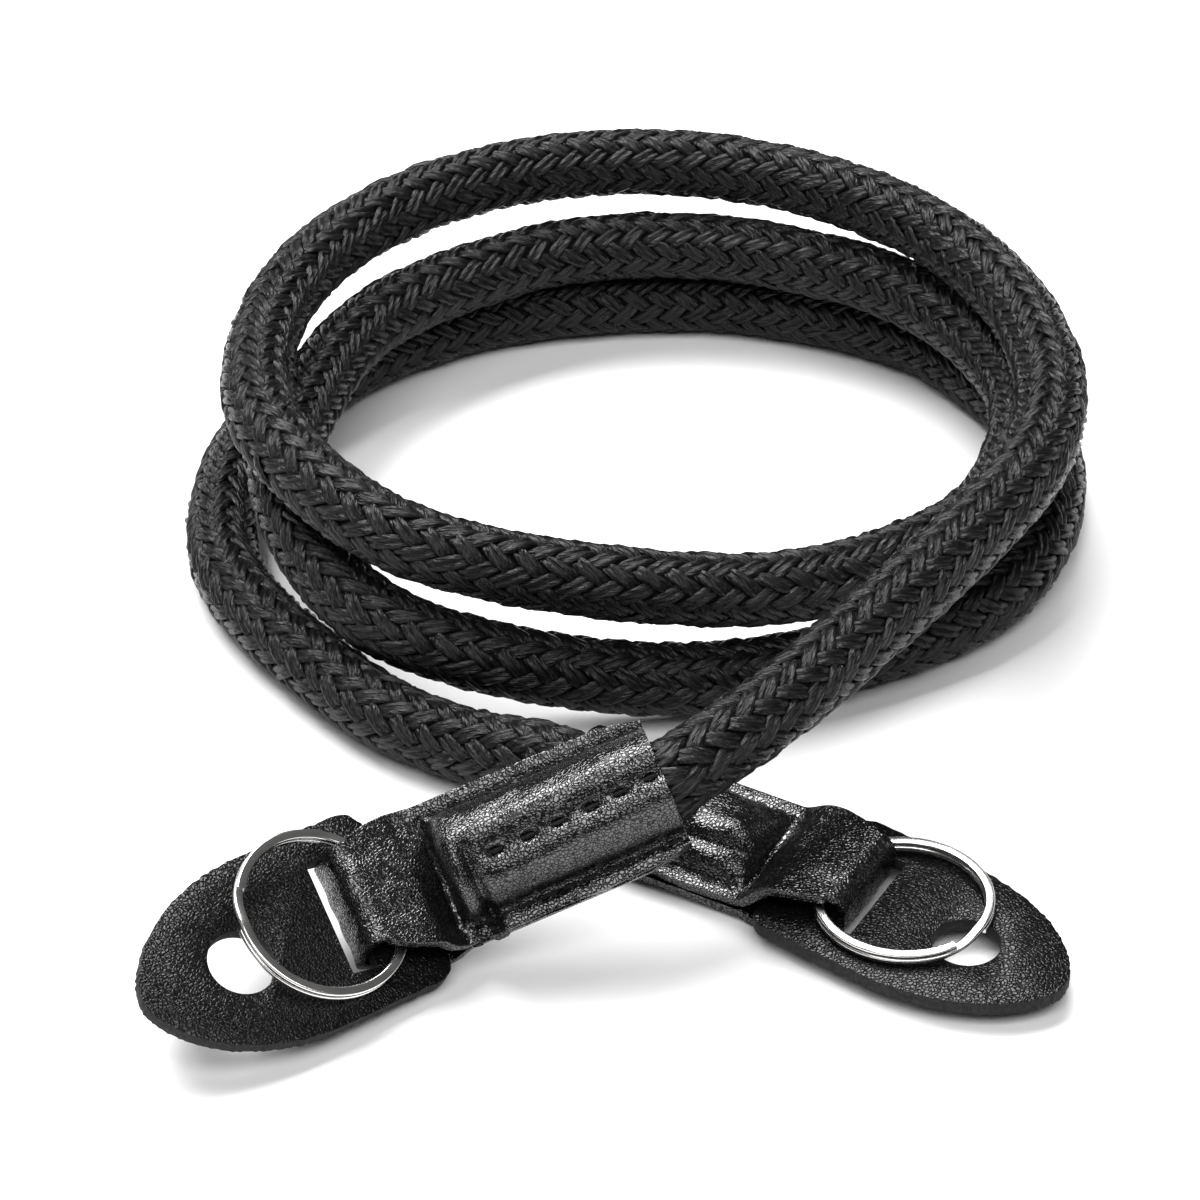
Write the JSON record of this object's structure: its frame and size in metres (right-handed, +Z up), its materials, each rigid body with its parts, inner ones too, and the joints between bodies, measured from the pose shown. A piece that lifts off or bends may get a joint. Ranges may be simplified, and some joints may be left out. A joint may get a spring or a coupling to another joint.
{
  "type": "coiled rope camera strap",
  "caption": "Braided rope neck strap for a camera, coiled, with stitched leather ends, guard pads and split rings.",
  "frame": {"origin": "on the table, under the middle of the strap's bounding box", "axes": "+Z up, -Y towards the two leather ends, +X towards the pad that lies flat"},
  "size_m": [0.1261, 0.1806, 0.0316],
  "materials": {
    "braided_rope": "black braided nylon with a satin sheen",
    "black_leather": "black pebbled grain, semi-gloss",
    "nickel_wire": "polished nickel plate"
  },
  "bodies": {
    "root": {"rope": "braided_rope", "left_leather_end": "black_leather", "left_pad": "black_leather", "left_ring": "nickel_wire", "right_leather_end": "black_leather", "right_pad": "black_leather", "right_ring": "nickel_wire"}
  },
  "joints": []
}
